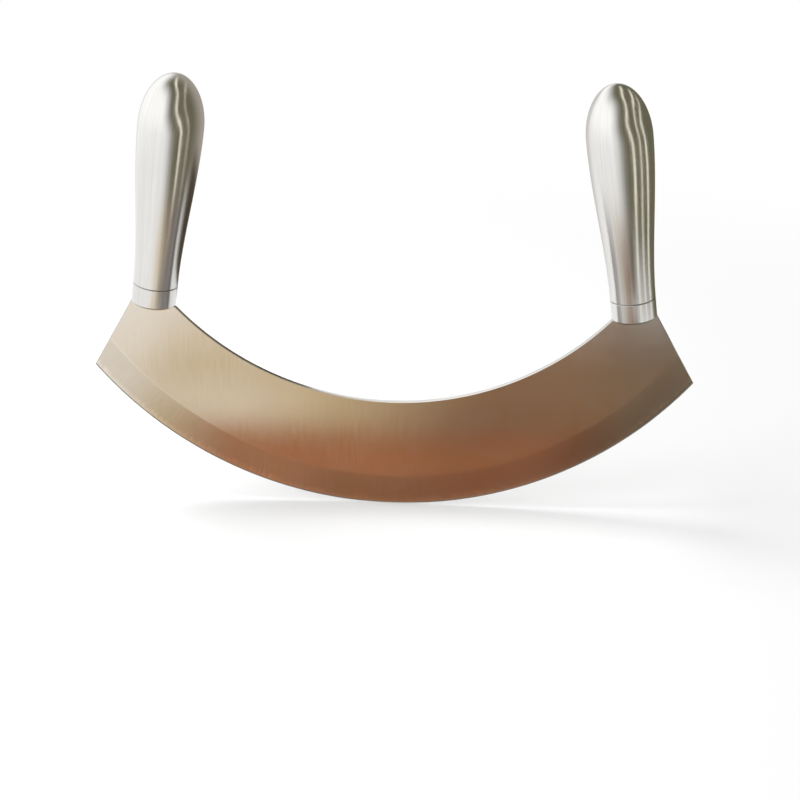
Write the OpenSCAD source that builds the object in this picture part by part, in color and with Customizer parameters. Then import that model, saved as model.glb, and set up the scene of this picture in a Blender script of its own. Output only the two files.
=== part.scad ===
// Mezzaluna: a curved rocking knife with one blade and two upright hollow steel handles.
// The blade stands in the XZ plane with its cutting edge down. The origin is the lowest point of the edge.

/* [Blade] */
// Distance between the two tips of the cutting edge
tip_span = 230; // [190:1:260]
// Radius of the cutting edge
edge_radius = 147.5; // [140:0.5:180]
// Depth of the blade at its middle, from the edge to the spine
blade_depth = 43.5; // [34:0.5:48]
// Thickness of the blade
blade_thickness = 2; // [1.7:0.1:3]
// Lean of the straight ends, inwards from upright, in degrees
end_lean = 29.5; // [20:0.5:34]
// Length of each straight end, from the tip to the shoulder under the handle
end_length = 31; // [26:0.5:38]
// Width of the main bevel along the edge
bevel_width = 12; // [8:0.5:16]
// Width of the fine bevel at the very edge
fine_bevel_width = 0.9; // [0.4:0.1:1.6]
// Thickness of the blade where the fine bevel starts
fine_bevel_thickness = 0.7; // [0.4:0.05:1.2]
// Thickness that is left at the edge itself
edge_thickness = 0.12; // [0.05:0.01:0.3]
// Size of the small chamfer on both corners of the spine
spine_chamfer = 0.25; // [0.1:0.05:0.5]

/* [Tang] */
// Width of each tang
tang_width = 9; // [6:0.5:11]
// Thickness of each tang, which is ground thinner than the blade
tang_thickness = 1.5; // [1:0.1:1.6]
// Length of each tang above the shoulder
tang_length = 55; // [44:1:62]

/* [Handle] */
// Length of each handle, from the blade's shoulder to the top of the dome
handle_length = 90; // [82:0.5:112]
// Lean of each handle's axis, inwards from upright, in degrees
handle_lean = 7.5; // [0:0.5:10]
// Diameter at the neck, where the handle meets the blade
neck_diameter = 17; // [15:0.1:21]
// Diameter at the widest place
belly_diameter = 24.5; // [22:0.5:32]
// Length of the rounded dome, from the widest place to the top
dome_length = 20; // [14:0.5:28]
// Wall of the pressed steel half shells
shell_wall = 0.9; // [0.6:0.1:1.4]

/* [Bolster] */
// Height of the bolster's visible collar
collar_height = 8; // [6:0.5:14]
// Height of the spigot that stands up inside the shells
spigot_height = 9; // [7:0.5:14]
// Chamfer around the foot of the collar
foot_chamfer = 0.8; // [0.3:0.1:1.5]
// Chamfer on each side of the joint between collar and shells
joint_chamfer = 0.25; // [0.1:0.05:0.4]

/* [Pins] */
// Diameter of the pins that cross the tang
pin_diameter = 3; // [2:0.5:4]
// How far the bolster pin's ends lie below the spigot's surface
pin_recess = 0.2; // [0.1:0.1:0.5]
// Length of the tang pin, which keys the tang into the filling
tang_pin_length = 13; // [8:0.5:14]
// Height of the tang pin above the shoulder
tang_pin_height = 40; // [32:0.5:44]

/* [Fits] */
// Clearance around the tang in the bolster's slot
slot_clearance = 0.05; // [0.02:0.01:0.15]
// Clearance of the spigot inside the shells
spigot_clearance = 0.06; // [0.03:0.01:0.15]
// Clearance around the filling and around what is set in it
cast_clearance = 0.02; // [0.01:0.01:0.1]
// Clearance around each pin
pin_clearance = 0.02; // [0.01:0.01:0.1]

/* [Hidden] */
$fn = 96;

blade_steel = [0.72, 0.69, 0.65];
handle_steel = [0.78, 0.77, 0.75];
pin_steel = [0.62, 0.62, 0.63];
filling_grey = [0.55, 0.53, 0.48];

left = -1;
right = 1;
front = -1;
back = 1;

taper_steps = 22;
dome_steps = 18;
cut_margin = 2;
root_depth = 4;
neck_r = neck_diameter / 2;
belly_r = belly_diameter / 2;
belly_height = handle_length - dome_length;
spigot_r = neck_r - shell_wall - spigot_clearance;
spigot_top = collar_height + spigot_height;
bolster_pin_height = collar_height + spigot_height / 2;
bolster_pin_length = 2 * (spigot_r - pin_recess);

// The tips lie on the edge's arc. Each straight end rises from its tip to the outer end of the shoulder.
tip_x = tip_span / 2;
tip_z = edge_radius - sqrt(edge_radius * edge_radius - tip_x * tip_x);
end_direction = [-sin(end_lean), cos(end_lean)];
shoulder_direction = [cos(handle_lean), sin(handle_lean)];
outer_shoulder = [tip_x, tip_z] + end_length * end_direction;
handle_base = outer_shoulder - neck_r * shoulder_direction;
inner_shoulder = handle_base - neck_r * shoulder_direction;

// The spine is one arc through the blade's middle and the inner ends of both shoulders.
spine_rise = inner_shoulder[1] - blade_depth;
spine_radius = (inner_shoulder[0] * inner_shoulder[0] + spine_rise * spine_rise) / (2 * spine_rise);

// Outer radius of the handle at a height above the shoulder, from the collar up to the belly.
function taper_radius(height) =
    let (t = (height - collar_height) / (belly_height - collar_height))
    neck_r + (belly_r - neck_r) * t * t * (3 - 2 * t);

// Outline of the handle's skin moved inwards by inset, as [radius, height] points from low up to the top.
// Every outline has its points at the same heights, so that skins and filling run parallel.
function skin_outline(inset, low) = concat(
    [[taper_radius(low) - inset, low]],
    [
        for (i = [1 : taper_steps])
            let (height = collar_height + (belly_height - collar_height) * i / taper_steps)
            if (height > low)
            [taper_radius(height) - inset, height]
    ],
    [
        for (i = [1 : dome_steps])
            let (a = 90 * i / dome_steps)
            [(belly_r - inset) * cos(a), belly_height + (dome_length - inset) * sin(a)]
    ]
);

// Turns a section about an axis along Y, at a height on the middle plane, as the edge and the spine run.
module round_about_y(centre_z) {
    translate([0, 0, centre_z])
        rotate([90, 0, 0])
            rotate_extrude()
                children();
}

// Moves what stands on the origin to the shoulder under one of the handles.
module on_handle(side) {
    mirror([side == left ? 1 : 0, 0, 0])
        translate([handle_base[0], 0, handle_base[1]])
            rotate([0, -handle_lean, 0])
                children();
}

module cross_pin(height, length, gap) {
    translate([0, 0, height])
        rotate([90, 0, 0])
            cylinder(h = length + 2 * gap, d = pin_diameter + 2 * gap, center = true);
}

// The tang from a height low up to its end, grown all round by gap.
module tang_body(low, gap) {
    translate([-tang_width / 2 - gap, -tang_thickness / 2 - gap, low])
        cube([tang_width + 2 * gap, tang_thickness + 2 * gap, tang_length + gap - low]);
}

module blade_outline() {
    below_tip = [tip_x, tip_z] - cut_margin * end_direction;
    right_half = [[below_tip[0], -cut_margin], below_tip, outer_shoulder, inner_shoulder];
    left_half = [for (i = [len(right_half) - 1 : -1 : 0]) [-right_half[i][0], right_half[i][1]]];
    polygon(concat(right_half, left_half));
}

// Section of the ground blade, from the centre of the edge's arc out to the edge.
module ground_section() {
    back_face = [
        [0, blade_thickness / 2],
        [edge_radius - bevel_width, blade_thickness / 2],
        [edge_radius - fine_bevel_width, fine_bevel_thickness / 2],
        [edge_radius, edge_thickness / 2]
    ];
    front_face = [for (i = [len(back_face) - 1 : -1 : 0]) [back_face[i][0], -back_face[i][1]]];
    polygon(concat(back_face, front_face));
}

// Section of the cutter that leaves the spine's arc and its two chamfers.
module spine_section() {
    flat = blade_thickness / 2 - spine_chamfer;
    reach = spine_chamfer + cut_margin;
    polygon([
        [0, -flat - reach],
        [spine_radius + reach, -flat - reach],
        [spine_radius, -flat],
        [spine_radius, flat],
        [spine_radius + reach, flat + reach],
        [0, flat + reach]
    ]);
}

module blade() {
    color(blade_steel) {
        difference() {
            intersection() {
                rotate([90, 0, 0])
                    linear_extrude(height = blade_thickness + cut_margin, center = true)
                        blade_outline();
                round_about_y(edge_radius)
                    ground_section();
            }
            round_about_y(blade_depth + spine_radius)
                spine_section();
        }
        for (side = [left, right])
            on_handle(side)
                difference() {
                    tang_body(-root_depth, 0);
                    cross_pin(bolster_pin_height, bolster_pin_length, pin_clearance);
                    cross_pin(tang_pin_height, tang_pin_length, pin_clearance);
                }
    }
}

// Turned collar that stands on the blade's shoulder, with a spigot inside the shells.
module bolster(side) {
    color(handle_steel)
        on_handle(side)
            difference() {
                rotate_extrude()
                    polygon([
                        [0, 0],
                        [neck_r - foot_chamfer, 0],
                        [neck_r, foot_chamfer],
                        [neck_r, collar_height - joint_chamfer],
                        [neck_r - joint_chamfer, collar_height],
                        [spigot_r, collar_height],
                        [spigot_r, spigot_top],
                        [0, spigot_top]
                    ]);
                tang_body(-cut_margin, slot_clearance);
                cross_pin(bolster_pin_height, neck_diameter, pin_clearance);
            }
}

// Pin through the spigot and the tang. The shells cover its ends.
module bolster_pin(side) {
    color(pin_steel)
        on_handle(side)
            cross_pin(bolster_pin_height, bolster_pin_length, 0);
}

// Pin through the tang alone. It is short enough to pass the neck of the welded shells.
module tang_pin(side) {
    color(pin_steel)
        on_handle(side)
            cross_pin(tang_pin_height, tang_pin_length, 0);
}

// Resin that fills the shells from the spigot to the dome and sets round the tang and its pin.
module filling(side) {
    low = spigot_top + cast_clearance;
    color(filling_grey)
        on_handle(side)
            difference() {
                rotate_extrude()
                    polygon(concat([[0, low]], skin_outline(shell_wall + cast_clearance, low)));
                tang_body(0, cast_clearance);
                cross_pin(tang_pin_height, tang_pin_length, pin_clearance);
            }
}

// One pressed half of the handle's skin. The two halves meet in the blade's plane.
module half_shell(side, face) {
    block = 2 * handle_length;
    rim = collar_height + joint_chamfer;
    outside = skin_outline(0, rim);
    inside = skin_outline(shell_wall, collar_height);
    color(handle_steel)
        on_handle(side)
            intersection() {
                rotate_extrude()
                    difference() {
                        polygon(concat(
                            [[0, collar_height], [neck_r - joint_chamfer, collar_height]],
                            outside
                        ));
                        polygon(concat(
                            [[0, collar_height - cut_margin], [neck_r - shell_wall, collar_height - cut_margin]],
                            inside
                        ));
                    }
                translate([-block / 2, face == front ? -block : 0, 0])
                    cube(block);
            }
}

blade();
bolster(left);  // left_bolster
bolster_pin(left);  // left_bolster_pin
tang_pin(left);  // left_tang_pin
filling(left);  // left_filling
half_shell(left, front);  // left_front_shell
half_shell(left, back);  // left_back_shell
bolster(right);  // right_bolster
bolster_pin(right);  // right_bolster_pin
tang_pin(right);  // right_tang_pin
filling(right);  // right_filling
half_shell(right, front);  // right_front_shell
half_shell(right, back);  // right_back_shell
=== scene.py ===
"""Finish for a mezzaluna: the ground blade, the hollow steel handles and the studio they stand in.

Sizes are in metres and in the frame of the CAD model: +Z is up, the cutting edge touches z = 0 at x = 0,
and the camera looks along +Y from a little above.
"""

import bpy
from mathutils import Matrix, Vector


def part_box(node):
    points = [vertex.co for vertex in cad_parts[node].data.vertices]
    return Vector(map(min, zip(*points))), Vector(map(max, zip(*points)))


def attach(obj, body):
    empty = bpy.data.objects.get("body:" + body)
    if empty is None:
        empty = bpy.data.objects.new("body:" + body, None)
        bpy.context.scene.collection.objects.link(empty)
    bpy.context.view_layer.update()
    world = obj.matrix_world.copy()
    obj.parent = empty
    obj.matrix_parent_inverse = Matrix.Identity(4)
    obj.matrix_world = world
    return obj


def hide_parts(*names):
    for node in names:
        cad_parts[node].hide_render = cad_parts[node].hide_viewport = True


bl_info = {
    "name": "Mezzaluna",
    "version": (1, 0, 0),
    "blender": (4, 5, 0),
    "location": "3D View > Sidebar > Mezzaluna",
    "description": "Builds the finished pieces of a mezzaluna round its CAD model",
    "category": "Object",
}

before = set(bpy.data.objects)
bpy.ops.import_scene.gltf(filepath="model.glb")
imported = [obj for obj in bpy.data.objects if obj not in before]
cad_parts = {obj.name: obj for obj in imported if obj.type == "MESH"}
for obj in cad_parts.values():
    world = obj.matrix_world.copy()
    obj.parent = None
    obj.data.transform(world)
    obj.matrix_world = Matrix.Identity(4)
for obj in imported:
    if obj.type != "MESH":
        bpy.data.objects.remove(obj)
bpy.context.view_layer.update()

import math
from collections import namedtuple

import bmesh
import bpy
from bpy.props import FloatProperty, FloatVectorProperty, PointerProperty
from mathutils import Matrix, Vector

BODY = "root"
LEFT, RIGHT = -1, 1
SIDE_NAMES = {LEFT: "left", RIGHT: "right"}
MM = 0.001
HAIR = 0.001 * MM  # places nearer than this count as one
DOUBLES = 0.0002 * MM  # corners nearer than this are merged
SHOULDER_EASE = 0.15 * MM  # how far the bevel's shoulder is eased to each side
PIN_PLAY = 0.02 * MM  # play round a pin in its hole
PIN_SIDES, BOLSTER_SIDES = 48, 144
BLADE_CREASE = math.radians(10)
HANDLE_CREASE = math.radians(30)

BLADE_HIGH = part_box("blade")[1]
SHELL_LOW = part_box("right_front_shell")[0]
TIP_X = BLADE_HIGH.x
TIP_Z = max(v.co.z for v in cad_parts["blade"].data.vertices if v.co.x > TIP_X - 10 * HAIR)


class BladeSizes(bpy.types.PropertyGroup):
    span: FloatProperty(
        name="Span", description="Distance between the tips", default=2 * TIP_X, unit="LENGTH")
    edge_radius: FloatProperty(
        name="Edge radius", description="Radius of the cutting edge",
        default=(TIP_X ** 2 + TIP_Z ** 2) / (2 * TIP_Z), unit="LENGTH")
    depth: FloatProperty(
        name="Depth", description="Edge to spine at the middle", default=43.5 * MM, unit="LENGTH")
    thickness: FloatProperty(
        name="Thickness", description="Thickness of the flat", default=2 * BLADE_HIGH.y, unit="LENGTH")
    end_lean: FloatProperty(
        name="End lean", description="Lean of the straight ends from upright",
        default=math.radians(29.5), unit="ROTATION")
    end_length: FloatProperty(
        name="End length", description="Tip to shoulder along a straight end", default=31 * MM, unit="LENGTH")
    bevel_width: FloatProperty(
        name="Bevel", description="Width of the ground bevel", default=12 * MM, unit="LENGTH")
    fine_width: FloatProperty(
        name="Fine bevel", description="Width of the bevel at the edge", default=0.9 * MM, unit="LENGTH")
    fine_thickness: FloatProperty(
        name="Fine bevel thickness", description="Thickness where the fine bevel starts",
        default=0.7 * MM, unit="LENGTH")
    edge_thickness: FloatProperty(
        name="Edge thickness", description="Thickness left at the edge", default=0.12 * MM, unit="LENGTH")
    spine_chamfer: FloatProperty(
        name="Spine chamfer", description="Chamfer on the spine's corners", default=0.25 * MM, unit="LENGTH")
    tang_width: FloatProperty(
        name="Tang width", description="Width of each tang", default=9 * MM, unit="LENGTH")
    tang_thickness: FloatProperty(
        name="Tang thickness", description="Thickness of each tang", default=1.5 * MM, unit="LENGTH")
    tang_length: FloatProperty(
        name="Tang length", description="Length of each tang", default=55 * MM, unit="LENGTH")
    grain: FloatProperty(
        name="Grain", description="Strength of the brushed grain", default=1.0, min=0, soft_max=2)
    steel: FloatVectorProperty(
        name="Steel", description="Colour of the blade's steel", subtype="COLOR", size=3,
        default=(0.74, 0.72, 0.69), min=0, max=1)


class HandleSizes(bpy.types.PropertyGroup):
    length: FloatProperty(
        name="Length", description="Shoulder to the top of the dome", default=90 * MM, unit="LENGTH")
    lean: FloatProperty(
        name="Lean", description="Inward lean of the handle's axis",
        default=math.radians(7.5), unit="ROTATION")
    neck: FloatProperty(
        name="Neck", description="Diameter at the neck", default=17 * MM, unit="LENGTH")
    belly: FloatProperty(
        name="Belly", description="Diameter at the widest place", default=-2 * SHELL_LOW.y, unit="LENGTH")
    dome: FloatProperty(
        name="Dome", description="Widest place to the top", default=20 * MM, unit="LENGTH")
    wall: FloatProperty(
        name="Wall", description="Thickness of the pressed skin", default=0.9 * MM, unit="LENGTH")
    collar: FloatProperty(
        name="Collar", description="Height of the bolster's collar", default=8 * MM, unit="LENGTH")
    spigot: FloatProperty(
        name="Spigot", description="Height of the bolster's spigot", default=9 * MM, unit="LENGTH")
    foot_chamfer: FloatProperty(
        name="Foot chamfer", description="Chamfer round the collar's foot", default=0.8 * MM, unit="LENGTH")
    joint_chamfer: FloatProperty(
        name="Joint chamfer", description="Chamfer on each side of the joint",
        default=0.25 * MM, unit="LENGTH")
    pin: FloatProperty(
        name="Pin", description="Diameter of the cross pins", default=3 * MM, unit="LENGTH")
    upper_pin: FloatProperty(
        name="Upper pin", description="Height of the tang pin above the shoulder",
        default=40 * MM, unit="LENGTH")
    clearance: FloatProperty(
        name="Clearance", description="Clearance round the spigot and the tang",
        default=0.06 * MM, unit="LENGTH")
    steel: FloatVectorProperty(
        name="Steel", description="Colour of the handles' steel", subtype="COLOR", size=3,
        default=(0.74, 0.73, 0.71), min=0, max=1)


class StudioSizes(bpy.types.PropertyGroup):
    azimuth: FloatProperty(
        name="Azimuth", description="Turn of the camera's view from +Y towards +X",
        default=math.radians(-3.527), unit="ROTATION")
    elevation: FloatProperty(
        name="Elevation", description="Angle by which the camera looks down",
        default=math.radians(23.029), unit="ROTATION")
    roll: FloatProperty(
        name="Roll", description="Roll of the camera about its view",
        default=math.radians(0.544), unit="ROTATION")
    distance: FloatProperty(
        name="Distance", description="Camera to its target", default=771.96 * MM, unit="LENGTH")
    target: FloatVectorProperty(
        name="Target", description="Point in the middle of the picture", size=3,
        default=(3.19 * MM, 0, 44.09 * MM), subtype="XYZ", unit="LENGTH")
    lens: FloatProperty(
        name="Lens", description="Focal length in millimetres", default=90, unit="CAMERA")
    floor: FloatVectorProperty(
        name="Floor", description="Colour of the floor", subtype="COLOR", size=3,
        default=(0.7, 0.7, 0.7), min=0, max=1)
    cream: FloatVectorProperty(
        name="Cream", description="Left end of the card that the blade mirrors", subtype="COLOR", size=3,
        default=(1.0, 0.91, 0.79), min=0, max=1)
    amber: FloatVectorProperty(
        name="Amber", description="Middle left of the card that the blade mirrors", subtype="COLOR", size=3,
        default=(0.65, 0.49, 0.26), min=0, max=1)
    tan: FloatVectorProperty(
        name="Tan", description="Middle of the card that the blade mirrors", subtype="COLOR", size=3,
        default=(0.408, 0.134, 0.036), min=0, max=1)
    umber: FloatVectorProperty(
        name="Umber", description="Right end of the card that the blade mirrors", subtype="COLOR", size=3,
        default=(0.255, 0.122, 0.045), min=0, max=1)


class Wire:
    """One output of a node. Python's operators on it add Math nodes."""

    def __init__(self, net, socket):
        self.net = net
        self.socket = socket

    def __add__(self, other):
        return self.net.maths("ADD", self, other)

    def __radd__(self, other):
        return self.net.maths("ADD", other, self)

    def __sub__(self, other):
        return self.net.maths("SUBTRACT", self, other)

    def __rsub__(self, other):
        return self.net.maths("SUBTRACT", other, self)

    def __mul__(self, other):
        return self.net.maths("MULTIPLY", self, other)

    def __rmul__(self, other):
        return self.net.maths("MULTIPLY", other, self)

    def __truediv__(self, other):
        return self.net.maths("DIVIDE", self, other)

    def __rtruediv__(self, other):
        return self.net.maths("DIVIDE", other, self)

    def __neg__(self):
        return self.net.maths("MULTIPLY", self, -1)

    def __abs__(self):
        return self.net.maths("ABSOLUTE", self)


class Net:
    """Adds nodes to one tree."""

    def __init__(self, tree):
        self.tree = tree

    def node(self, kind, settings=None, inputs=None, output=0):
        """A node of that kind: its settings first, then its inputs by index, identifier or name."""
        made = self.tree.nodes.new(kind)
        for name, value in (settings or {}).items():
            setattr(made, name, value)
        for key, value in (inputs or {}).items():
            socket = self.socket(made.inputs, key)
            if isinstance(value, Wire):
                self.tree.links.new(value.socket, socket)
            else:
                socket.default_value = value
        return Wire(self, self.socket(made.outputs, output)) if made.outputs else made

    @staticmethod
    def socket(sockets, key):
        if isinstance(key, int):
            return sockets[key]
        for socket in sockets:
            if socket.identifier == key:
                return socket
        return sockets[key]

    def wires(self, wire, keys):
        """Outputs of the node that a wire comes from."""
        outputs = wire.socket.node.outputs
        return [Wire(self, outputs[key]) for key in keys]

    def maths(self, operation, *values):
        return self.node("ShaderNodeMath", {"operation": operation}, dict(enumerate(values)))

    def length(self, x, y):
        return self.maths("SQRT", x * x + y * y)

    def clamp(self, value):
        return self.node("ShaderNodeClamp", None, {0: value})

    def step(self, value, low, high):
        """Rises smoothly from 0 at low to 1 at high."""
        return self.node(
            "ShaderNodeMapRange", {"interpolation_type": "SMOOTHSTEP"},
            {"Value": value, "From Min": low, "From Max": high})

    def fall(self, value, low, high):
        """Falls smoothly from 1 at low to 0 at high."""
        return 1 - self.step(value, low, high)

    def band(self, value, middle, inner, outer):
        """1 up to inner from the middle, and 0 from outer on."""
        return self.fall(abs(value - middle), inner, outer)

    def fade(self, share, a, b):
        """Goes from a at 0 to b at 1."""
        return a + share * (b - a)

    def vector(self, x, y, z):
        return self.node("ShaderNodeCombineXYZ", None, {0: x, 1: y, 2: z})

    def split(self, vector):
        """The three numbers of a vector."""
        return self.wires(self.node("ShaderNodeSeparateXYZ", None, {0: vector}), range(3))

    def place(self):
        """The point on the surface, in its object's own coordinates."""
        return self.node("ShaderNodeTexCoord", None, None, "Object")

    def noise(self, place, scale=1.0, detail=2.0, roughness=0.5):
        return self.node(
            "ShaderNodeTexNoise", {"noise_dimensions": "3D"},
            {"Vector": place, "Scale": scale, "Detail": detail, "Roughness": roughness})

    def contrast(self, noise):
        """Noise stretched to nearly the whole way from 0 to 1."""
        dark, bright = 0.34, 0.66
        return self.step(noise, dark, bright)

    def mix(self, factor, a, b, blend="MIX"):
        """A mix of two colours."""
        inputs = {"Factor_Float": factor, "A_Color": a, "B_Color": b}
        return self.node("ShaderNodeMix", {"data_type": "RGBA", "blend_type": blend}, inputs, "Result_Color")

    def grey(self, value):
        return self.node("ShaderNodeCombineColor", None, {0: value, 1: value, 2: value})

    def scaled(self, colour, factor):
        """A colour made brighter or darker."""
        return self.mix(1.0, colour, self.grey(factor), "MULTIPLY")

    def glow(self, colour, strength=1.0):
        return self.node("ShaderNodeEmission", None, {"Color": colour, "Strength": strength})

    def surface(self, shader):
        """Ends a material in that shader."""
        self.node("ShaderNodeOutputMaterial", None, {"Surface": shader})


def new_material(name):
    material = bpy.data.materials.new(name)
    material.use_nodes = True
    material.node_tree.nodes.clear()
    return material, Net(material.node_tree)


def close_material(net, colour, roughness, height, depth, metallic=1.0):
    """Ends a material in one Principled shader. height is a relief from 0 to 1 that is depth deep."""
    bump = net.node("ShaderNodeBump", None, {"Strength": 1.0, "Distance": depth, "Height": height})
    net.surface(net.node("ShaderNodeBsdfPrincipled", None, {
        "Base Color": colour, "Roughness": roughness, "Metallic": metallic, "Normal": bump}))


def opaque(colour):
    return (*colour, 1)


def lines(net, across, along, width, length, detail=2.0):
    """Brushed lines: noise that is fine across them and slow along them. Sizes are in metres."""
    return net.noise(net.vector(across / width, along / length, 0.0), detail=detail)


def blade_grain(net, x, z, arc, inward, bevel):
    """Upright grain on the flat and radial grinding on the bevels, each coarse and fine."""
    coarse_upright = net.contrast(lines(net, x, z, 0.8 * MM, 24 * MM, 3.0))
    fine_upright = net.contrast(lines(net, x, z, 0.3 * MM, 9 * MM))
    coarse_radial = net.contrast(lines(net, arc, inward, 0.6 * MM, 12 * MM, 3.0))
    fine_radial = net.contrast(lines(net, arc, inward, 0.3 * MM, 5 * MM))
    return net.fade(bevel, coarse_upright * 0.4 + fine_upright * 0.6, coarse_radial * 0.5 + fine_radial * 0.5)


def blade_wear(net, arc, inward, face):
    """1 where the grinding is worn bright by the edge, with a ragged border that reaches in by patches."""
    ragged = net.step(lines(net, arc + face, inward, 0.45 * MM, 4 * MM), 0.35, 0.65)
    patches = net.step(net.noise(net.vector(arc / (22 * MM), face, 0.0)), 0.3, 0.62)
    reach = (ragged * (0.4 + patches) - 0.5) * (1.6 * MM)
    return net.fall(inward - reach, 0.8 * MM, 3.2 * MM)


def blade_steel(blade):
    """Stainless steel: upright grain on the flat, radial grinding on the bevels, bright by the edge."""
    material, net = new_material("ground_blade_steel")
    place = net.place()
    x, y, z = net.split(place)
    up = blade.edge_radius - z
    inward = blade.edge_radius - net.length(x, up)
    arc = net.maths("ARCTAN2", x, up) * blade.edge_radius
    border = 0.1 * MM
    bevel = net.fall(inward, blade.bevel_width - border, blade.bevel_width + border)
    back = net.step(y, -border, border)
    noise_shift = 7.3
    face = net.maths("SIGN", y) * noise_shift

    calm_front = (0.3 + net.step(x, -10 * MM, 45 * MM) * 0.4) * (1 - back)
    calm_arms = net.step(z, 62 * MM, 80 * MM) * 0.75
    calm = net.maths("MAXIMUM", calm_front, calm_arms)
    grain = net.fade(calm, blade_grain(net, x + face, z, arc + face, inward, bevel), 0.5)
    cloud = net.noise(place, 28.0, 3.0, 0.55)
    smudge = net.noise(place, 75.0, 2.0, 0.6)

    worn = blade_wear(net, arc, inward, face)
    # Painted highlight: a lighter line along the bevel's shoulder, on the left and on the back (glints).
    glints = net.maths("MAXIMUM", net.fall(x, -60 * MM, -10 * MM), back)
    shoulder = net.band(inward, blade.bevel_width, 0.2 * MM, 0.6 * MM) * glints
    # Painted shade: a darker line where the fine bevel starts, near the right tip.
    lip_shade = net.band(inward, blade.fine_width, 0.15 * MM, 0.4 * MM) * net.step(x, 85 * MM, 105 * MM)
    # Painted shade: the end faces and a hair's width of the flat next to them are 75 % darker.
    cos, sin = math.cos(blade.end_lean), math.sin(blade.end_lean)
    past_end = abs(x) * cos + z * sin - (TIP_X * cos + TIP_Z * sin)
    end_shade = net.step(past_end, -0.12 * MM, -0.04 * MM)

    tone = 0.97 + (grain - 0.5) * (0.07 * blade.grain) + (cloud - 0.5) * 0.08
    tone = tone + worn * (0.2 - back * 0.14) + shoulder * 0.06 - lip_shade * 0.3 - bevel * back * 0.06
    colour = net.scaled(opaque(blade.steel), tone * (1 - end_shade * 0.75))
    roughness = 0.2 + (grain - 0.5) * 0.05 + bevel * 0.02 + (smudge - 0.5) * 0.08
    relief = net.fade(net.fall(inward, 2 * MM, 5 * MM), grain, 0.5)
    close_material(net, colour, net.clamp(roughness), relief, 0.0012 * MM)
    return material


def handle_place(net, handle, foot):
    """A place on a handle, the same for both: direction round the axis, radius, height and side."""
    x, y, z = net.split(net.place())
    out = abs(x) - foot.x
    rise = z - foot.z
    across = out * math.cos(handle.lean) + rise * math.sin(handle.lean)
    height = rise * math.cos(handle.lean) - out * math.sin(handle.lean)
    radius = net.maths("MAXIMUM", net.length(across, y), 0.01 * MM)
    return across / radius, y / radius, radius, height, net.maths("SIGN", x)


def handle_steel(handle, foot):
    """Satin stainless steel: fine lines along the handle that meet at the top, and a weld each side."""
    material, net = new_material("satin_handle_steel")
    east, north, radius, height, side = handle_place(net, handle, foot)

    def streaks(width, length):
        """Lines that run up the handle and meet at the top."""
        turns = handle.belly / 2 / width
        noise_shift = 5
        return net.contrast(net.noise(net.vector(
            east * turns, north * turns, height / length + side * noise_shift)))

    grain = streaks(1.5 * MM, 60 * MM) * 0.4
    grain = grain + streaks(0.6 * MM, 30 * MM) * 0.35 + streaks(0.25 * MM, 11 * MM) * 0.25
    cloud = net.noise(net.place(), 60.0, 3.0, 0.55)
    above_joint = net.step(height, handle.collar, handle.collar + MM)
    weld = net.fall(abs(north) * radius, 0.5 * MM, MM) * above_joint
    joint = net.band(height, handle.collar, 0.08 * MM, 0.3 * MM)
    tone = 0.97 + (grain - 0.5) * 0.1 + (cloud - 0.5) * 0.06 - weld * 0.03 - joint * 0.5
    roughness = 0.19 + (grain - 0.5) * 0.08 + (cloud - 0.5) * 0.06 + weld * 0.05 + joint * 0.2
    colour = net.scaled(opaque(handle.steel), tone)
    close_material(net, colour, net.clamp(roughness), grain, 0.007 * MM)
    return material


def pin_steel():
    """Plain drawn rod with turning marks."""
    material, net = new_material("drawn_pin_steel")
    x, y, z = net.split(net.place())
    rod = (0.60, 0.60, 0.61, 1)
    marks = lines(net, y, x + z, 0.12 * MM, 4 * MM)
    roughness = 0.3 + (marks - 0.5) * 0.15
    close_material(net, net.scaled(rod, 1 + (marks - 0.5) * 0.2), roughness, marks, 0.01 * MM)
    return material


def filling_resin():
    """Cast resin with mineral filler: mottled, with fine pores."""
    material, net = new_material("cast_filling_resin")
    dark, pale, hole = (0.42, 0.40, 0.35, 1), (0.60, 0.58, 0.52, 1), (0.3, 0.28, 0.25, 1)
    mottle = net.noise(net.place(), 240.0, 4.0, 0.6)
    pores = net.step(net.noise(net.place(), 1500.0, 1.0), 0.62, 0.7)
    colour = net.mix(pores * 0.5, net.mix(net.clamp(mottle), dark, pale), hole)
    roughness = 0.62 + (mottle - 0.5) * 0.2
    close_material(net, colour, roughness, mottle * 0.5 - pores * 0.5, 0.05 * MM, metallic=0.0)
    return material


def linked_object(name, data):
    made = bpy.data.objects.new(name, data)
    bpy.context.scene.collection.objects.link(made)
    return made


def paint(mesh, material):
    """Makes that the mesh's only material."""
    mesh.materials.clear()
    mesh.materials.append(material)


def new_object(name, mesh, material):
    paint(mesh, material)
    return linked_object(name, mesh)


def closed_mesh(name, work):
    """A mesh of that work, with its faces outwards."""
    bmesh.ops.recalc_face_normals(work, faces=work.faces)
    mesh = bpy.data.meshes.new(name)
    work.to_mesh(mesh)
    work.free()
    return mesh


def finish_mesh(mesh, crease):
    """Merges doubles, turns the faces outwards and shades smoothly up to the crease angle."""
    work = bmesh.new()
    work.from_mesh(mesh)
    bmesh.ops.remove_doubles(work, verts=work.verts, dist=DOUBLES)
    bmesh.ops.dissolve_degenerate(work, edges=work.edges, dist=DOUBLES)
    bmesh.ops.recalc_face_normals(work, faces=work.faces)
    for face in work.faces:
        face.smooth = True
    for edge in work.edges:
        edge.smooth = edge.is_manifold and edge.calc_face_angle(math.pi) < crease
    work.to_mesh(mesh)
    work.free()
    mesh.update()


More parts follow.
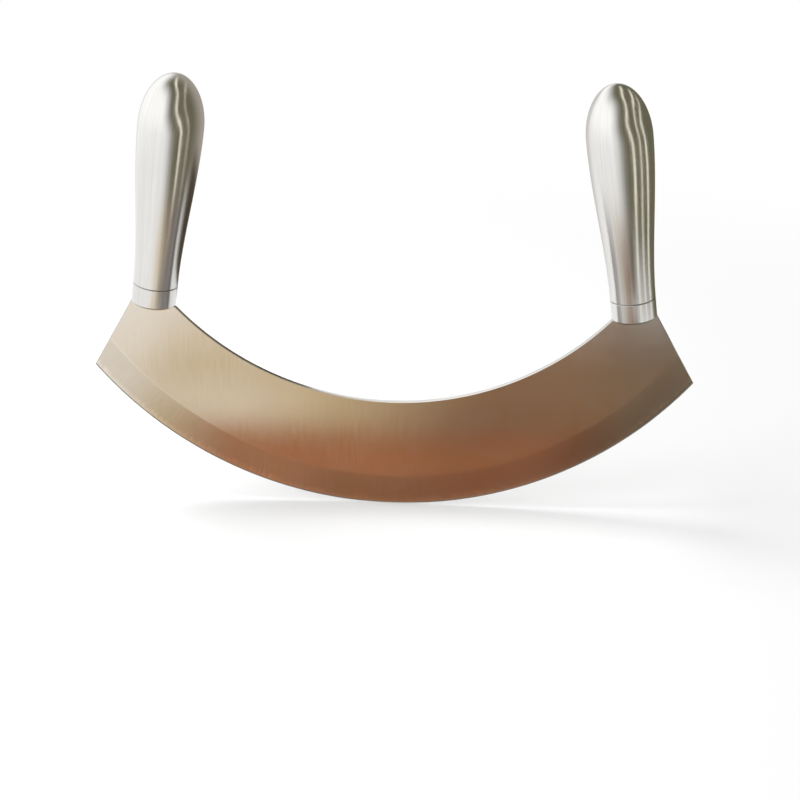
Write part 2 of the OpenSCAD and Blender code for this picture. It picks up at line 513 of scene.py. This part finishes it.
def carve(target, tool, operation):
    """Cuts tool from target, or joins it on, and removes tool."""
    modifier = target.modifiers.new("carve", "BOOLEAN")
    modifier.operation = operation
    modifier.solver = "EXACT"
    modifier.object = tool
    graph = bpy.context.evaluated_depsgraph_get()
    mesh = bpy.data.meshes.new_from_object(target.evaluated_get(graph))
    target.modifiers.remove(modifier)
    used = (target.data, tool.data)
    target.data = mesh
    bpy.data.objects.remove(tool)
    for old in used:
        bpy.data.meshes.remove(old)


class Outline:
    """The blade's outline: the tips, the shoulders, and the arcs of the edge and the spine, as (x, z)."""

    def __init__(self, blade, handle):
        self.blade = blade
        radius = blade.edge_radius
        self.centre = Vector((0, radius))
        self.tip_angle = math.asin(blade.span / 2 / radius)
        end = Vector((-math.sin(blade.end_lean), math.cos(blade.end_lean)))
        shoulder = Vector((math.cos(handle.lean), math.sin(handle.lean)))
        self.outer = self.edge_point(self.tip_angle) + blade.end_length * end
        self.inner = self.outer - handle.neck * shoulder
        base = self.outer - handle.neck / 2 * shoulder
        self.foot = Vector((base.x, 0, base.y))
        rise = self.inner.y - blade.depth
        self.spine_radius = (self.inner.x ** 2 + rise ** 2) / (2 * rise)
        self.spine_centre = Vector((0, blade.depth + self.spine_radius))
        self.spine_angle = math.asin(self.inner.x / self.spine_radius)

    def edge_point(self, angle):
        return self.centre + self.blade.edge_radius * Vector((math.sin(angle), -math.cos(angle)))

    def spine_point(self, angle):
        return self.spine_centre + self.spine_radius * Vector((math.sin(angle), -math.cos(angle)))

    def tops(self, spine_steps, shoulder_steps):
        """Points along the top of one half, from the middle out, each with its share of the way."""
        spine_way = self.spine_radius * self.spine_angle
        way = spine_way + (self.outer - self.inner).length
        points = []
        for i in range(spine_steps + 1):
            share = i / spine_steps
            points.append((self.spine_point(self.spine_angle * share), spine_way * share / way))
        for i in range(1, shoulder_steps + 1):
            share = i / shoulder_steps
            points.append((self.inner.lerp(self.outer, share), (spine_way + share * (way - spine_way)) / way))
        return points

    def half_thickness(self, inward):
        """Half the blade's thickness at a distance in from the edge.

        The fine bevel is slightly full and runs smoothly into the ground bevel, whose shoulder is eased.
        """
        blade = self.blade
        flat, fine, sharp = blade.thickness / 2, blade.fine_thickness / 2, blade.edge_thickness / 2
        slope = (flat - fine) / (blade.bevel_width - blade.fine_width)
        if inward < blade.fine_width:
            share = inward / blade.fine_width
            full = fine - sharp - slope * blade.fine_width
            return sharp + (fine - sharp) * share + full * share * (1 - share)
        beyond = inward - blade.bevel_width
        if beyond < -SHOULDER_EASE:
            return flat + slope * beyond
        if beyond < SHOULDER_EASE:
            return flat - slope * (SHOULDER_EASE - beyond) ** 2 / (4 * SHOULDER_EASE)
        return flat


def cross(start, end, centre, radius):
    """The point between start and end that lies at that radius from the centre."""
    way = end - start
    offset = start - centre
    a, b, c = way.dot(way), 2 * offset.dot(way), offset.dot(offset) - radius ** 2
    root = math.sqrt(b * b - 4 * a * c)
    slack = 0.001
    shares = ((-b - root) / (2 * a), (-b + root) / (2 * a))
    share = min((s for s in shares if -slack <= s <= 1 + slack), key=abs)
    return start + share * way


def rib_points(outline, insets, top, share):
    """One rib of the blade from the edge to the top, as (point, half thickness)."""
    blade = outline.blade
    edge = outline.edge_point(outline.tip_angle * share)
    points = []
    for inset in insets:
        point = cross(edge, top, outline.centre, blade.edge_radius - inset)
        points.append((point, outline.half_thickness(inset)))
    for depth in (3 * blade.spine_chamfer, blade.spine_chamfer):
        points.append((top + (edge - top).normalized() * depth, blade.thickness / 2))
    on_spine = (top - outline.spine_centre).length < outline.spine_radius + HAIR
    chamfer = blade.spine_chamfer if on_spine else 0
    points.append((top, blade.thickness / 2 - chamfer))
    return points


def blade_mesh(outline, spine_steps=110, shoulder_steps=10, fine_steps=6):
    """The ground blade without its tangs, as ribs from the edge to the top."""
    blade = outline.blade
    insets = [blade.fine_width * i / fine_steps for i in range(fine_steps + 1)]
    insets += [blade.bevel_width + SHOULDER_EASE * i for i in range(-2, 3)]
    half = outline.tops(spine_steps, shoulder_steps)
    work = bmesh.new()
    ribs = []
    for side, tops in ((LEFT, reversed(half[1:])), (RIGHT, half)):
        for top, share in tops:
            points = rib_points(outline, insets, top, share)
            rib = [[work.verts.new((side * p.x, face * y, p.y)) for p, y in points] for face in (-1, 1)]
            ribs.append(rib)

    def strip(near, far):
        for corners in zip(near, near[1:], far[1:], far):
            work.faces.new(corners)

    for near, far in zip(ribs, ribs[1:]):
        for face in (0, 1):
            strip(near[face], far[face])
        for end in (0, -1):
            work.faces.new((near[0][end], far[0][end], far[1][end], near[1][end]))
    for front, back in (ribs[0], ribs[-1]):
        strip(front, back)
    return closed_mesh("blade", work)


def on_handle(outline, handle, side):
    """Takes what stands on the origin to the shoulder under one of the handles."""
    turn = Matrix.Rotation(-handle.lean, 4, "Y")
    return Matrix.Diagonal((side, 1, 1, 1)) @ Matrix.Translation(outline.foot) @ turn


def turned_mesh(name, profile, segments, placed):
    """A solid turned from (radius, height) points that start and end on the axis."""
    work = bmesh.new()
    points = [work.verts.new((r, 0, h)) for r, h in profile]
    wires = [work.edges.new(pair) for pair in zip(points, points[1:])]
    bmesh.ops.spin(
        work, geom=points + wires, cent=(0, 0, 0), axis=(0, 0, 1), angle=2 * math.pi, steps=segments,
        use_merge=True)
    bmesh.ops.remove_doubles(work, verts=work.verts, dist=DOUBLES)
    bmesh.ops.transform(work, matrix=placed, verts=work.verts)
    return closed_mesh(name, work)


def pin_tool(handle, height, length, placed):
    """A cylinder where a cross pin goes."""
    radius = handle.pin / 2 + PIN_PLAY
    upright = [(0, -length / 2), (radius, -length / 2), (radius, length / 2), (0, length / 2)]
    turn = Matrix.Translation((0, 0, height)) @ Matrix.Rotation(math.pi / 2, 4, "X")
    return linked_object("pin_tool", turned_mesh("pin_tool", upright, PIN_SIDES, placed @ turn))


def block_tool(width, depth, low, high, placed):
    """A block centred on the handle's axis."""
    work = bmesh.new()
    bmesh.ops.create_cube(work, size=1)
    size = Matrix.Diagonal((width, depth, high - low, 1))
    middle = Matrix.Translation((0, 0, (low + high) / 2))
    bmesh.ops.transform(work, matrix=placed @ middle @ size, verts=work.verts)
    return linked_object("block_tool", closed_mesh("block_tool", work))


def new_tree(name, inputs, output):
    """A Geometry Nodes tree with those inputs and one output, each a name and a kind of socket."""
    tree = bpy.data.node_groups.new(name, "GeometryNodeTree")
    for key, kind in inputs.items():
        tree.interface.new_socket(key, in_out="INPUT", socket_type=f"NodeSocket{kind}")
    tree.interface.new_socket(output[0], in_out="OUTPUT", socket_type=f"NodeSocket{output[1]}")
    net = Net(tree)
    return tree, net, dict(zip(inputs, net.wires(net.node("NodeGroupInput"), inputs)))


HANDLE_INPUTS = (
    "Length", "Neck", "Belly", "Dome", "Wall", "Collar", "Chamfer", "Lean", "Base X", "Base Z", "Side")


def skin_group():
    """The point on a handle's skin at a row, an inset and an angle."""
    place_inputs = ("Row", "Inset", "Angle", "Taper Rows", "Dome Rows")
    tree, net, given = new_tree(
        "handle_skin_point", dict.fromkeys(place_inputs + HANDLE_INPUTS, "Float"), ("Point", "Vector"))
    row, inset, angle = given["Row"], given["Inset"], given["Angle"]
    collar, chamfer, neck = given["Collar"], given["Chamfer"], given["Neck"] / 2
    first = net.maths("MINIMUM", row, 1.0)
    share = net.clamp((row - 1) / (given["Taper Rows"] - 1))
    swing = net.clamp((row - given["Taper Rows"]) / given["Dome Rows"]) * (math.pi / 2)
    belly_height = given["Length"] - given["Dome"]
    level = collar + chamfer * first
    level = level + (belly_height - collar - chamfer) * share
    rise = (level - collar) / (belly_height - collar)
    swell = rise * rise * (3 - 2 * rise)
    skin = neck + (given["Belly"] / 2 - neck) * swell - inset
    skin = skin - chamfer * (1 - first) * (1 - inset / given["Wall"])
    radius = skin * net.maths("COSINE", swing)
    height = level + (given["Dome"] - inset) * net.maths("SINE", swing)
    out = radius * net.maths("COSINE", angle)
    y = radius * net.maths("SINE", angle)
    cos, sin = net.maths("COSINE", given["Lean"]), net.maths("SINE", given["Lean"])
    x = given["Side"] * (given["Base X"] + out * cos - height * sin)
    z = given["Base Z"] + out * sin + height * cos
    net.node("NodeGroupOutput", None, {"Point": net.vector(x, y, z)})
    return tree


def shell_tree(point_group, taper_rows=56, dome_rows=44, columns=80):
    """One pressed half of a handle's skin: outside, inside, the two welded faces and the rim."""
    inputs = dict.fromkeys(("Start Angle",) + HANDLE_INPUTS, "Float") | {"Material": "Material"}
    tree, net, given = new_tree("half_shell", inputs, ("Geometry", "Geometry"))
    rows = taper_rows + dome_rows
    column_angle = math.pi / columns

    def sheet(wide, high, row, inset, angle):
        """A grid of wide by high faces whose points go where the skin says."""
        settings = {"Size X": wide, "Size Y": high, "Vertices X": wide + 1, "Vertices Y": high + 1}
        grid = net.node("GeometryNodeMeshGrid", None, settings)
        u, v, _ = net.split(net.node("GeometryNodeInputPosition"))
        across, along = u + wide / 2, v + high / 2
        place = {
            "Row": row(across, along), "Inset": given["Wall"] * inset(across, along),
            "Angle": given["Start Angle"] + column_angle * angle(across, along),
            "Taper Rows": taper_rows, "Dome Rows": dome_rows,
        }
        sizes = {name: given[name] for name in HANDLE_INPUTS}
        point = net.node("GeometryNodeGroup", {"node_tree": point_group}, sizes | place)
        return net.node("GeometryNodeSetPosition", None, {"Geometry": grid, "Position": point})

    def across_only(u, v):
        return u

    def along_only(u, v):
        return v

    def level(value):
        return lambda u, v: u * 0 + value

    outside = sheet(rows, columns, across_only, level(0), along_only)
    inside = sheet(rows, columns, across_only, level(1), along_only)
    first_weld = sheet(rows, 1, across_only, along_only, level(0))
    second_weld = sheet(rows, 1, across_only, along_only, level(columns))
    rim = sheet(1, columns, level(0), across_only, along_only)
    joined = net.node("GeometryNodeJoinGeometry")
    for part in (outside, inside, first_weld, second_weld, rim):
        tree.links.new(part.socket, joined.socket.node.inputs[0])
    merged = net.node("GeometryNodeMergeByDistance", None, {"Geometry": joined, "Distance": HAIR})
    real = net.node("GeometryNodeRealizeInstances", None, {"Geometry": merged})
    painted = net.node("GeometryNodeSetMaterial", None, {"Geometry": real, "Material": given["Material"]})
    net.node("NodeGroupOutput", None, {"Geometry": painted})
    return tree


def grown_mesh(name, tree, values):
    """The plain mesh that a tree grows from those values."""
    host = linked_object(name + "_host", bpy.data.meshes.new(name + "_host"))
    modifier = host.modifiers.new("grow", "NODES")
    modifier.node_group = tree
    keys = {item.name: item.identifier for item in tree.interface.items_tree if item.in_out == "INPUT"}
    for key, value in values.items():
        modifier[keys[key]] = value
    graph = bpy.context.evaluated_depsgraph_get()
    mesh = bpy.data.meshes.new_from_object(host.evaluated_get(graph))
    mesh.name = name
    host.modifiers.remove(modifier)
    empty = host.data
    bpy.data.objects.remove(host)
    bpy.data.meshes.remove(empty)
    return mesh


def place_piece(piece, slot, *nodes):
    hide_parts(*nodes)
    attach(piece, BODY)


def settings_of(context):
    scene = context.scene
    return scene.mezzaluna_blade, scene.mezzaluna_handle, scene.mezzaluna_studio


def shared_material(name, make, *sizes):
    return bpy.data.materials.get(name) or make(*sizes)


def bolster_pin_height(handle):
    return handle.collar + handle.spigot / 2


class MEZZALUNA_OT_blade(bpy.types.Operator):
    """Build the ground blade with its two tangs"""

    bl_idname = "mezzaluna.blade"
    bl_label = "Build blade"

    def execute(self, context):
        blade, handle, _ = settings_of(context)
        outline = Outline(blade, handle)
        material = shared_material("ground_blade_steel", blade_steel, blade)
        piece = new_object("ground_blade", blade_mesh(outline), material)
        root = 4 * MM
        for side in SIDE_NAMES:
            placed = on_handle(outline, handle, side)
            tang = block_tool(blade.tang_width, blade.tang_thickness, -root, blade.tang_length, placed)
            for height in (bolster_pin_height(handle), handle.upper_pin):
                carve(tang, pin_tool(handle, height, handle.neck, placed), "DIFFERENCE")
            carve(piece, tang, "UNION")
        paint(piece.data, material)
        finish_mesh(piece.data, BLADE_CREASE)
        place_piece(piece, "blade_steel", "blade")
        return {"FINISHED"}


class MEZZALUNA_OT_bolsters(bpy.types.Operator):
    """Turn the two bolsters, slot them for the tangs and bore them for their pins"""

    bl_idname = "mezzaluna.bolsters"
    bl_label = "Build bolsters"

    def execute(self, context):
        blade, handle, _ = settings_of(context)
        outline = Outline(blade, handle)
        material = shared_material("satin_handle_steel", handle_steel, handle, outline.foot)
        neck = handle.neck / 2
        spigot = neck - handle.wall - handle.clearance
        top = handle.collar + handle.spigot
        profile = [
            (0, 0), (neck - handle.foot_chamfer, 0), (neck, handle.foot_chamfer),
            (neck, handle.collar - handle.joint_chamfer), (neck - handle.joint_chamfer, handle.collar),
            (spigot, handle.collar), (spigot, top), (0, top),
        ]
        slot_width = blade.tang_width + 2 * handle.clearance
        slot_depth = blade.tang_thickness + 2 * handle.clearance
        pin_height = bolster_pin_height(handle)
        spare = 2 * MM
        for side, name in SIDE_NAMES.items():
            placed = on_handle(outline, handle, side)
            mesh = turned_mesh(name, profile, BOLSTER_SIDES, placed)
            piece = new_object(f"{name}_turned_bolster", mesh, material)
            carve(piece, block_tool(slot_width, slot_depth, -spare, top + spare, placed), "DIFFERENCE")
            carve(piece, pin_tool(handle, pin_height, 2 * handle.neck, placed), "DIFFERENCE")
            paint(piece.data, material)
            finish_mesh(piece.data, HANDLE_CREASE)
            place_piece(piece, "handle_steel", f"{name}_bolster")
        return {"FINISHED"}


class MEZZALUNA_OT_shells(bpy.types.Operator):
    """Press the four half shells of the handles"""

    bl_idname = "mezzaluna.shells"
    bl_label = "Build half shells"

    def execute(self, context):
        blade, handle, _ = settings_of(context)
        foot = Outline(blade, handle).foot
        material = shared_material("satin_handle_steel", handle_steel, handle, foot)
        tree = shell_tree(skin_group())
        sizes = {
            "Length": handle.length, "Neck": handle.neck, "Belly": handle.belly, "Dome": handle.dome,
            "Wall": handle.wall, "Collar": handle.collar, "Chamfer": handle.joint_chamfer,
            "Lean": handle.lean, "Base X": foot.x, "Base Z": foot.z, "Material": material,
        }
        for side, side_name in SIDE_NAMES.items():
            for face, start in (("front", math.pi), ("back", 0.0)):
                name = f"{side_name}_{face}"
                mesh = grown_mesh(name, tree, sizes | {"Start Angle": start, "Side": float(side)})
                piece = new_object(f"{name}_pressed_shell", mesh, material)
                finish_mesh(mesh, HANDLE_CREASE)
                place_piece(piece, "handle_steel", f"{name}_shell")
        return {"FINISHED"}


class MEZZALUNA_OT_inside(bpy.types.Operator):
    """Give the pins and the fillings inside the handles their materials"""

    bl_idname = "mezzaluna.inside"
    bl_label = "Finish inner pieces"

    def execute(self, context):
        rod = shared_material("drawn_pin_steel", pin_steel)
        resin = shared_material("cast_filling_resin", filling_resin)
        inner = {"bolster_pin": rod, "tang_pin": rod, "filling": resin}
        for side in SIDE_NAMES.values():
            for name, material in inner.items():
                paint(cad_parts[f"{side}_{name}"].data, material)
        return {"FINISHED"}


def camera_axes(studio):
    """The camera's right, up and backward directions."""
    turn, tilt = studio.azimuth, studio.elevation
    ahead = Vector((math.sin(turn) * math.cos(tilt), math.cos(turn) * math.cos(tilt), -math.sin(tilt)))
    right = Vector((math.cos(turn), -math.sin(turn), 0))
    up = right.cross(ahead)
    cos, sin = math.cos(studio.roll), math.sin(studio.roll)
    return cos * right + sin * up, cos * up - sin * right, -ahead


def camera_place(studio):
    return Vector(studio.target) + studio.distance * camera_axes(studio)[2]


class MEZZALUNA_OT_camera(bpy.types.Operator):
    """Place the camera where the photograph was taken from"""

    bl_idname = "mezzaluna.camera"
    bl_label = "Place camera"

    def execute(self, context):
        studio = settings_of(context)[2]
        data = bpy.data.cameras.new("camera")
        data.sensor_width = 36
        data.lens = studio.lens
        data.clip_start = 10 * MM
        camera = linked_object("camera", data)
        turn = Matrix(camera_axes(studio)).transposed().to_4x4()
        camera.matrix_world = Matrix.Translation(camera_place(studio)) @ turn
        context.scene.camera = camera
        return {"FINISHED"}


def stage_mesh(name, points, faces, material):
    mesh = bpy.data.meshes.new(name)
    mesh.from_pydata(points, [], faces)
    made = new_object(name, mesh, material)
    return made


def hide_from_all_but_metal(piece):
    """Leaves a piece of the stage only in reflections."""
    for ray in ("camera", "diffuse", "transmission", "volume_scatter", "shadow"):
        setattr(piece, f"visible_{ray}", False)


def rays_that_look(net):
    """1 for rays from the camera, metal or glass, and 0 for those that carry light to matt surfaces."""
    names = ("Is Camera Ray", "Is Glossy Ray", "Is Transmission Ray")
    camera, glossy, transmission = net.wires(net.node("ShaderNodeLightPath"), names)
    return net.maths("MINIMUM", camera + glossy + transmission, 1.0)


def floor_material(studio):
    """Pale floor. The camera and the metal see it a little brighter, and white far out."""
    material, net = new_material("pale_floor")
    x, y, _ = net.split(net.place())
    near_share = 0.1
    away = net.step(net.length(x, y), 0.15, 0.5)
    share = rays_that_look(net) * (near_share + away * (1 - near_share))
    matt = net.node("ShaderNodeBsdfDiffuse", None, {"Color": opaque(studio.floor)})
    net.surface(net.node("ShaderNodeMixShader", None, {0: share, 1: matt, 2: net.glow((1, 1, 1, 1))}))
    return material


def stage_floor(studio):
    far = 6.0
    corners = [(-far, -far, 0), (far, -far, 0), (far, far, 0), (-far, far, 0)]
    stage_mesh("floor", corners, [(0, 1, 2, 3)], floor_material(studio))


def soft_oval(net, x, y, middle, radii):
    """1 in the middle of an oval, and 0 just outside it."""
    distance = net.length((x - middle[0]) / radii[0], (y - middle[1]) / radii[1])
    return net.fall(distance, 0.3, 1.1)


def flat_mirrors(net, studio, x, y):
    """What the flat mirrors: cream on the left, then amber, then umber. x and y are in millimetres."""
    cream = opaque(studio.cream)
    colour = net.mix(net.step(x, -136, -110), cream, opaque(studio.amber))
    glare = soft_oval(net, x, y, (-90, -95), (55, 35))
    brow = net.fall(y, -175, -150) * net.fall(x, -70, -30)
    colour = net.mix(glare * 0.48 + brow * 0.4, colour, cream)
    return net.mix(net.step(x, -52, 40), colour, opaque(studio.umber))


def low_mirrors(net, studio, x):
    """What the blade's lower part mirrors: cream on the left, then amber, then tan. x is in millimetres."""
    colour = net.mix(net.step(x, -150, -100), opaque(studio.cream), opaque(studio.amber))
    colour = net.mix(net.step(x, -115, -70), colour, opaque(studio.tan))
    return net.scaled(colour, 1 - net.step(x, -20, 30) * 0.2 - net.step(x, 50, 90) * 0.3)


def edge_mirrors(net, x, y, colour):
    """The colour given, with painted shade: dark strips along the edge's arc that the bevel's lowest part
    mirrors.
    """
    dull, shade, rim = (0.26, 0.16, 0.1, 1), (0.12, 0.075, 0.045, 1), (0.17, 0.15, 0.125, 1)
    arc_depth = x * x * 0.001 + 0.2
    ratio = y / -arc_depth
    right = net.step(x, 50, 85)
    # Painted shade: the card's strip above the foot goes dull from the middle on, and dark at the right.
    lip_shade = net.mix(right, net.mix(net.step(x, -50, -10), colour, dull), shade)
    colour = net.mix(net.fall(ratio, 4.0, 5.2), colour, lip_shade)
    return net.mix(net.fall(ratio - right * 1.7, 1.5, 2.1), colour, net.mix(right, shade, rim))


def card_colour(net, studio):
    """The card's colour by place. The higher up the blade, the farther out it mirrors the card."""
    metre_x, metre_y, _ = net.split(net.place())
    x, y = metre_x / MM, metre_y / MM
    dusk = (0.212, 0.132, 0.064, 1)
    colour = net.mix(net.step(y, -86, -58), flat_mirrors(net, studio, x, y), low_mirrors(net, studio, x))
    pool = soft_oval(net, x, y, (33, -81), (40, 24))
    dip = net.band(y, -65, 5, 25) * (net.step(x, -60, -30) - net.step(x, 20, 50))
    colour = net.scaled(net.scaled(colour, 1 - pool * 0.13), 1 - dip * 0.1)
    colour = net.mix(net.step(x, 70, 115), colour, dusk)
    far_corner = net.step(x, 85, 105) * net.fall(y, -175, -140)
    colour = net.scaled(colour, 1 - far_corner * 0.3)
    # Painted shade: the strip of the card that the main bevel mirrors is darker.
    bevel_zone = net.step(y + x * x * 0.0065 + 22, -5, 5)
    colour = net.mix(bevel_zone * net.fall(x, 0, 30) * 0.09, colour, opaque(studio.amber))
    depth = 0.12 + net.step(x, -50, -20) * 0.22 - net.step(x, 0, 30) * 0.09
    return edge_mirrors(net, x, y, net.scaled(colour, 1 - bevel_zone * depth))


def card_material(name, studio, saturation):
    """The card's colours, or nearly their greys where saturation is low."""
    material, net = new_material(name)
    colour = net.node("ShaderNodeHueSaturation", None, {
        "Saturation": saturation, "Value": 0.92 + saturation * 0.08, "Color": card_colour(net, studio)})
    net.surface(net.glow(colour, 1.1))
    return material


def stage_card(studio):
    """A warm card on the floor in front of the blade, under a louvre of grey fins. It glows with a painted
    reflection of a wood board, with painted shade near the blade.

    The fins stand edge on to what the camera sees in the blade, and hide the card from other sides.
    """
    wide, near, deep, lift = 175 * MM, 0.2 * MM, 250 * MM, 0.3 * MM
    corners = [(-wide, -deep, lift), (wide, -deep, lift), (wide, -near, lift), (-wide, -near, lift)]
    card = stage_mesh("warm_card", corners, [(0, 1, 2, 3)], card_material("warm_card", studio, 1.0))
    eye = camera_place(studio)
    pitch, top, gap = 1.0 * MM, 1.1 * MM, 0.8 * MM
    points, faces = [], []
    for i in range(round(2 * wide / pitch) + 1):
        for depth in (gap, deep):
            x = pitch * i - wide
            x += (x - eye.x) * depth / -eye.y
            points += [(x, -depth, lift), (x, -depth, top)]
        faces.append((4 * i, 4 * i + 1, 4 * i + 3, 4 * i + 2))
    louvre = stage_mesh("louvre", points, faces, card_material("louvre", studio, 0.1))
    for piece in (card, louvre):
        hide_from_all_but_metal(piece)


# Bright slits in the tents, with their direction and half width in degrees
Slit = namedtuple("Slit", "turn strength half_width")
TENT_SLITS = {
    LEFT: (Slit(27, 3.4, 4.5), Slit(64, 0.5, 6)),
    RIGHT: (Slit(30, 4.2, 4.5), Slit(65, 2.6, 4), Slit(95, 3.0, 4)),
}

# Where each tent goes from white to olive, in degrees
TENT_DUSK = {LEFT: (-30, 10), RIGHT: (-40, 12)}


def tent_turn(net, x, y, z):
    """Direction round a tent in degrees, bent so that the slits run up the domes."""
    high = net.step(z, 0.0, 0.7)
    turn = net.maths("ARCTAN2", x, y * (high * 0.61 - 1) + z * high * 0.92) * (180 / math.pi)
    return turn + net.step(y, -0.75, -0.1) * 16 - net.fall(z, -0.35, 0.3) * 15


def left_back(net, x, y, z, colour, white):
    """The back of the left tent: white, then warm grey, with a dark place low at the right."""
    warm_grey, soot = (0.45, 0.41, 0.36, 1), (0.075, 0.06, 0.045, 1)
    cap = net.mix(net.step(x, -0.3, 0.1), net.scaled(white, 1 - net.step(y, 0.6, 0.85) * 0.3), warm_grey)
    colour = net.mix(net.step(y, -0.15, 0.75), colour, cap)
    low_right = net.fall(z, -0.6, -0.42) * net.step(x, 0.05, 0.25) * net.step(y, 0.1, 0.4)
    return net.mix(low_right, colour, soot)


def right_back(net, x, y, z, colour, olive):
    """The back of the right tent below its top: pale grey, then olive."""
    pale_grey = (0.72, 0.7, 0.68, 1)
    cap = net.mix(net.step(x, -0.1, 0.4), pale_grey, olive)
    return net.mix(net.step(y, 0.3, 0.8) * net.fall(z, 0.35, 0.55), colour, cap)


def tent_material(name, side):
    """Inside of a tent: bright on the left, dark with bright slits on the right. The outside is clear."""
    material, net = new_material(name)
    x, y, z = net.split(net.node("ShaderNodeVectorMath", {"operation": "NORMALIZE"}, {0: net.place()}))
    turn = tent_turn(net, x, y, z)
    olive, lit = (0.17, 0.157, 0.105, 1), (1.2, 1.16, 1.02, 1)
    white = net.grey(net.fade(net.step(z, -0.5, 0.3), 1.08, 1.35))
    colour = net.mix(net.step(turn, *TENT_DUSK[side]), white, olive)
    for slit in TENT_SLITS[side]:
        share = net.band(turn, slit.turn, 0.5, slit.half_width) * net.fall(y, 0.35, 0.7)
        colour = net.mix(share * slit.strength, colour, lit, "ADD")
    if side == LEFT:
        colour = left_back(net, x, y, z, colour, white)
    else:
        colour = right_back(net, x, y, z, colour, olive)
    outside = net.node("ShaderNodeNewGeometry", None, None, "Backfacing")
    low_front = net.fall(z, -0.84, -0.55) * net.fall(y, 0.0, 0.3)
    hidden = net.maths("MAXIMUM", outside, low_front)
    clear = net.node("ShaderNodeBsdfTransparent")
    net.surface(net.node("ShaderNodeMixShader", None, {0: hidden, 1: net.glow(colour), 2: clear}))
    return material


def stage_tent(side):
    """A round tent about one handle, open at the foot and clear low in front."""
    radius, rows, columns = 110 * MM, 32, 48
    low, high = math.radians(-57), math.radians(89.9)
    points, faces = [], []
    for row in range(rows + 1):
        tilt = low + (high - low) * row / rows
        ring, height = radius * math.cos(tilt), radius * math.sin(tilt)
        for column in range(columns + 1):
            turn = 2 * math.pi * column / columns
            points.append((ring * math.sin(turn), -ring * math.cos(turn), height))
    for row in range(rows):
        for column in range(columns):
            corner = row * (columns + 1) + column
            faces.append((corner, corner + columns + 1, corner + columns + 2, corner + 1))
    name = f"{SIDE_NAMES[side]}_tent"
    tent = stage_mesh(name, points, faces, tent_material(name, side))
    tent.location = (side * 80 * MM, 0, 152 * MM)
    hide_from_all_but_metal(tent)


def world_light():
    """White to the camera and to metal, softer as light."""
    world = bpy.data.worlds.new("studio")
    world.use_nodes = True
    world.node_tree.nodes.clear()
    net = Net(world.node_tree)
    level = 0.64
    strength = level + rays_that_look(net) * (1 - level)
    light = net.node("ShaderNodeBackground", None, {"Color": (1, 1, 1, 1), "Strength": strength})
    net.node("ShaderNodeOutputWorld", None, {"Surface": light})
    return world


def soft_lamp(name, place, size, power):
    """A square area lamp that points at the object and doesn't show in the metal."""
    middle = Vector((0, 0, 80 * MM))
    data = bpy.data.lights.new(name, "AREA")
    data.size = size
    data.energy = power
    lamp = linked_object(name, data)
    lamp.visible_glossy = False
    lamp.location = place
    lamp.rotation_euler = (middle - Vector(place)).to_track_quat("-Z", "Y").to_euler()


class MEZZALUNA_OT_studio(bpy.types.Operator):
    """Set the floor, the card, the tents, the lamps and the world"""

    bl_idname = "mezzaluna.studio"
    bl_label = "Set studio"

    def execute(self, context):
        studio = settings_of(context)[2]
        stage_floor(studio)
        stage_card(studio)
        for side in SIDE_NAMES:
            stage_tent(side)
        soft_lamp("left_softbox", place=(-0.9, -0.45, 0.5), size=0.9, power=9)
        soft_lamp("top_softbox", place=(-0.45, 0.1, 1.0), size=0.6, power=10)
        context.scene.world = world_light()
        context.scene.view_settings.view_transform = "Standard"
        return {"FINISHED"}


class MEZZALUNA_PT_panel(bpy.types.Panel):
    """Lists the operators and their sizes and colours"""

    bl_idname = "MEZZALUNA_PT_panel"
    bl_label = "Mezzaluna"
    bl_space_type = "VIEW_3D"
    bl_region_type = "UI"
    bl_category = "Mezzaluna"

    def draw(self, context):
        layout = self.layout
        for operator in OPERATORS:
            layout.operator(operator.bl_idname)
        for settings in settings_of(context):
            box = layout.box()
            for name in settings.__annotations__:
                box.prop(settings, name)


OPERATORS = (
    MEZZALUNA_OT_camera, MEZZALUNA_OT_blade, MEZZALUNA_OT_bolsters, MEZZALUNA_OT_shells,
    MEZZALUNA_OT_inside, MEZZALUNA_OT_studio,
)
CLASSES = (BladeSizes, HandleSizes, StudioSizes, *OPERATORS, MEZZALUNA_PT_panel)


def register():
    for cls in CLASSES:
        bpy.utils.register_class(cls)
    bpy.types.Scene.mezzaluna_blade = PointerProperty(type=BladeSizes)
    bpy.types.Scene.mezzaluna_handle = PointerProperty(type=HandleSizes)
    bpy.types.Scene.mezzaluna_studio = PointerProperty(type=StudioSizes)


def unregister():
    del bpy.types.Scene.mezzaluna_studio
    del bpy.types.Scene.mezzaluna_handle
    del bpy.types.Scene.mezzaluna_blade
    for cls in reversed(CLASSES):
        bpy.utils.unregister_class(cls)


def main():
    register()
    bpy.ops.mezzaluna.camera()
    bpy.ops.mezzaluna.blade()
    bpy.ops.mezzaluna.bolsters()
    bpy.ops.mezzaluna.shells()
    bpy.ops.mezzaluna.inside()
    bpy.ops.mezzaluna.studio()


if __name__ == "__main__":
    main()
